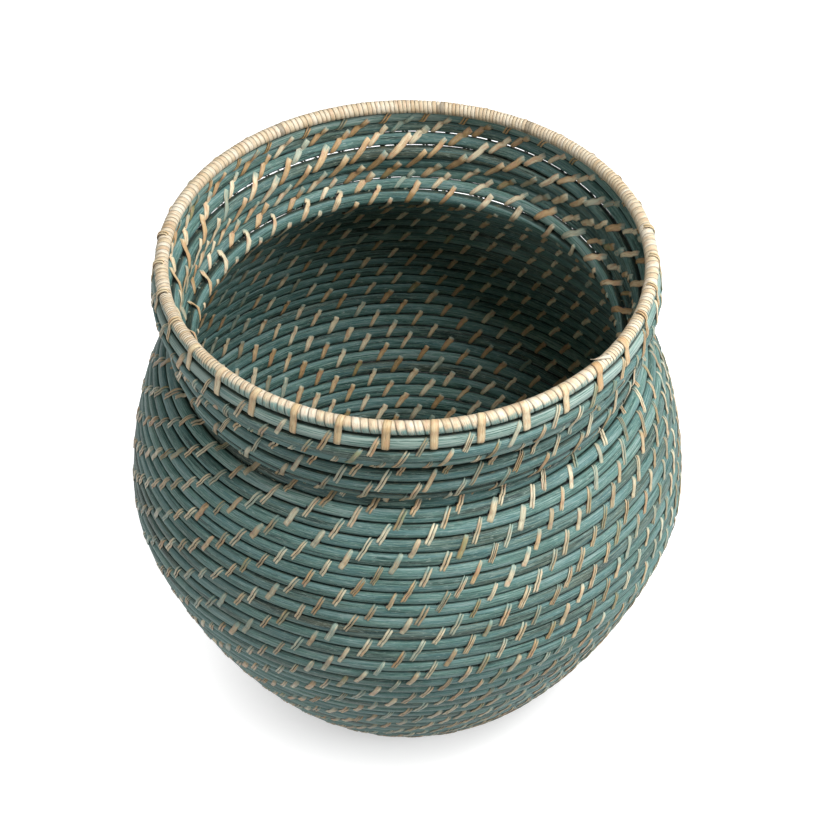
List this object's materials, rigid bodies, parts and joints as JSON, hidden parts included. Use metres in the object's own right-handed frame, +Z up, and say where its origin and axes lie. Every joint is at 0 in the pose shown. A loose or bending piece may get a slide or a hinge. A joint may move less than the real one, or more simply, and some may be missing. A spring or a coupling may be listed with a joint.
{
  "type": "coiled rattan jar basket",
  "caption": "Coiled rattan jar basket with a round belly, a drawn-in neck, a ridged collar and a cane-wrapped rim, open at the top.",
  "frame": {"origin": "centre of the flat base, on the surface that the basket stands on", "axes": "+Z up through the mouth, -Y towards the viewer of the picture, +X to the viewer's right"},
  "size_m": [0.2999, 0.2998, 0.2879],
  "materials": {
    "stained_rattan": "satin",
    "rim_rod": "satin",
    "cane_wrapping": "satin",
    "cane_lashing": "satin"
  },
  "bodies": {
    "root": {"base_rod": "stained_rattan", "wall_rod_01": "stained_rattan", "wall_rod_02": "stained_rattan", "wall_rod_03": "stained_rattan", "wall_rod_04": "stained_rattan", "wall_rod_05": "stained_rattan", "wall_rod_06": "stained_rattan", "wall_rod_07": "stained_rattan", "wall_rod_08": "stained_rattan", "wall_rod_09": "stained_rattan", "rim_hoop": "rim_rod", "rim_wrap_front": "cane_wrapping", "rim_wrap_right": "cane_wrapping", "rim_wrap_left": "cane_wrapping", "rim_lashing_01": "cane_lashing", "rim_lashing_02": "cane_lashing", "rim_lashing_03": "cane_lashing", "rim_lashing_04": "cane_lashing", "rim_lashing_05": "cane_lashing", "rim_lashing_06": "cane_lashing", "rim_lashing_07": "cane_lashing", "rim_lashing_08": "cane_lashing", "rim_lashing_09": "cane_lashing", "rim_lashing_10": "cane_lashing", "rim_lashing_11": "cane_lashing", "rim_lashing_12": "cane_lashing", "rim_lashing_13": "cane_lashing", "rim_lashing_14": "cane_lashing", "rim_lashing_15": "cane_lashing", "rim_lashing_16": "cane_lashing", "rim_lashing_17": "cane_lashing", "rim_lashing_18": "cane_lashing", "rim_lashing_19": "cane_lashing", "rim_lashing_20": "cane_lashing", "rim_lashing_21": "cane_lashing", "rim_lashing_22": "cane_lashing", "rim_lashing_23": "cane_lashing", "rim_lashing_24": "cane_lashing", "rim_lashing_25": "cane_lashing", "rim_lashing_26": "cane_lashing", "rim_lashing_27": "cane_lashing", "rim_lashing_28": "cane_lashing", "rim_lashing_29": "cane_lashing", "rim_lashing_30": "cane_lashing", "rim_lashing_31": "cane_lashing", "rim_lashing_32": "cane_lashing", "rim_lashing_33": "cane_lashing", "rim_lashing_34": "cane_lashing", "rim_lashing_35": "cane_lashing"}
  },
  "joints": []
}
